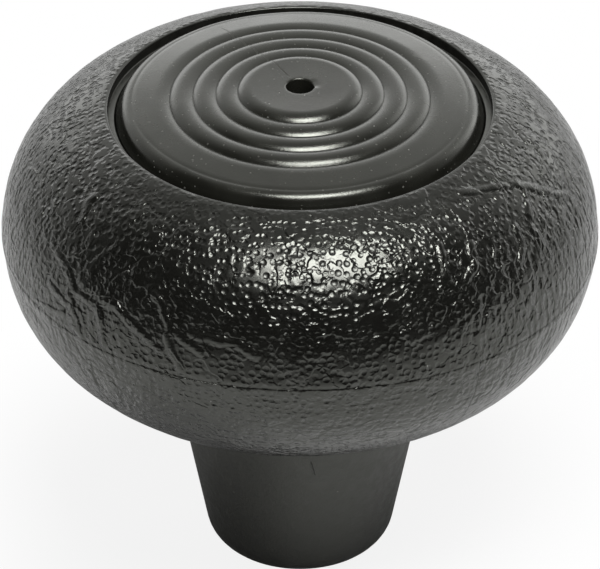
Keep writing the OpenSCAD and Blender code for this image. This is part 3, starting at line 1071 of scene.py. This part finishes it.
def surroundings():
    """A white room for the camera, with the dark side of a studio in front for reflections."""
    world = bpy.data.worlds.new("studio")
    bpy.context.scene.world = world
    world.use_nodes = True
    tree = world.node_tree
    tree.nodes.clear()
    output = tree.nodes.new("ShaderNodeOutputWorld")
    x, y, z = axes_of(tree, put(tree, "ShaderNodeTexCoord").outputs["Generated"])
    behind = maths(tree, "MULTIPLY_ADD", z, -0.15, maths(tree, "MULTIPLY_ADD", x, 0.06, y))
    glow = maths(tree, "ADD", between(tree, behind, -0.25, 0.85, 0.015, 0.9),
                 between(tree, z, 0.85, 1.0, 0.0, 0.18))
    white = (1, 1, 1, 1)
    room = plain_room(tree, mixed(tree, glow, (0, 0, 0), (1, 1, 1)))
    path = put(tree, "ShaderNodeLightPath").outputs
    shiny = maths(tree, "MAXIMUM", path["Is Glossy Ray"], path["Is Transmission Ray"])
    lit = put(tree, "ShaderNodeMixShader", {0: shiny, 1: plain_room(tree, white, 0.22), 2: room})
    seen = put(tree, "ShaderNodeMixShader",
               {0: path["Is Camera Ray"], 1: lit.outputs[0], 2: plain_room(tree, white)})
    tree.links.new(seen.outputs[0], output.inputs["Surface"])


def soft_light(name, elevation, azimuth, distance, width, height, power):
    """An area light aimed at the knob. Azimuth 0 is straight behind the knob and rises to the right."""
    data = bpy.data.lights.new(name, "AREA")
    data.shape = "RECTANGLE"
    data.size, data.size_y = width, height
    data.energy = power
    lamp = bpy.data.objects.new(name, data)
    e, a = math.radians(elevation), math.radians(azimuth)
    out = Vector((math.cos(e) * math.sin(a), math.cos(e) * math.cos(a), math.sin(e)))
    lamp.location = Vector((0, 0, 0.035)) + out * distance
    lamp.rotation_euler = out.to_track_quat("Z", "Y").to_euler()
    lamp.visible_camera = False
    bpy.context.scene.collection.objects.link(lamp)


def view_camera():
    """A long lens that looks down on the knob from the front."""
    data = bpy.data.cameras.new("view")
    data.lens = VIEW_LENS
    data.sensor_width = VIEW_SENSOR
    data.clip_start = 0.01
    data.clip_end = 100.0
    camera = bpy.data.objects.new("view", data)
    camera.location = view_place() * MM
    camera.rotation_euler = Euler((math.pi / 2 - math.radians(VIEW_PITCH), 0, 0))
    bpy.context.scene.collection.objects.link(camera)
    bpy.context.scene.camera = camera


class SHIFTKNOB_OT_studio(bpy.types.Operator):
    """Set up the paper floor, surroundings, soft lights and camera"""
    bl_idname = "shift_knob.studio"
    bl_label = "Studio"

    def execute(self, context):
        settings = context.scene.knob_studio
        context.scene.view_settings.view_transform = "Standard"
        paper_floor(settings)
        surroundings()
        soft_light("key_softbox", elevation=65.2, azimuth=162.0, distance=0.8,
                   width=0.43, height=0.29, power=settings.key_power)
        soft_light("back_light", elevation=9.0, azimuth=6.0, distance=1.3,
                   width=2.4, height=0.7, power=settings.back_power)
        soft_light("side_light", elevation=14.0, azimuth=52.0, distance=1.2,
                   width=0.5, height=1.0, power=settings.side_power)
        view_camera()
        return {"FINISHED"}


# ---------------------------------------------------------------- panel and registration

class VIEW3D_PT_shift_knob(bpy.types.Panel):
    """Lists the knob's settings and builders"""
    bl_label = "Shift Knob"
    bl_idname = "VIEW3D_PT_shift_knob"
    bl_space_type = "VIEW_3D"
    bl_region_type = "UI"
    bl_category = "Shift Knob"

    def draw(self, context):
        scene = context.scene
        groups = (
            (scene.knob_grip, SHIFTKNOB_OT_body),
            (scene.knob_cap, SHIFTKNOB_OT_cap),
            (scene.knob_insert, SHIFTKNOB_OT_insert),
            (scene.knob_studio, SHIFTKNOB_OT_studio),
        )
        for settings, builder in groups:
            box = self.layout.box()
            for key in settings.__annotations__:
                box.prop(settings, key)
            box.operator(builder.bl_idname)


CLASSES = (
    GripSettings,
    CapSettings,
    InsertSettings,
    StudioSettings,
    SHIFTKNOB_OT_body,
    SHIFTKNOB_OT_cap,
    SHIFTKNOB_OT_insert,
    SHIFTKNOB_OT_studio,
    VIEW3D_PT_shift_knob,
)


def register():
    """Registers the classes and hangs the settings on the scene."""
    for cls in CLASSES:
        bpy.utils.register_class(cls)
    bpy.types.Scene.knob_grip = bpy.props.PointerProperty(type=GripSettings)
    bpy.types.Scene.knob_cap = bpy.props.PointerProperty(type=CapSettings)
    bpy.types.Scene.knob_insert = bpy.props.PointerProperty(type=InsertSettings)
    bpy.types.Scene.knob_studio = bpy.props.PointerProperty(type=StudioSettings)


def unregister():
    """Takes the settings off the scene and unregisters the classes."""
    for key in ("knob_grip", "knob_cap", "knob_insert", "knob_studio"):
        delattr(bpy.types.Scene, key)
    for cls in reversed(CLASSES):
        bpy.utils.unregister_class(cls)


def main():
    register()
    bpy.ops.shift_knob.body()
    bpy.ops.shift_knob.cap()
    bpy.ops.shift_knob.insert()
    bpy.ops.shift_knob.studio()


if __name__ == "__main__":
    main()
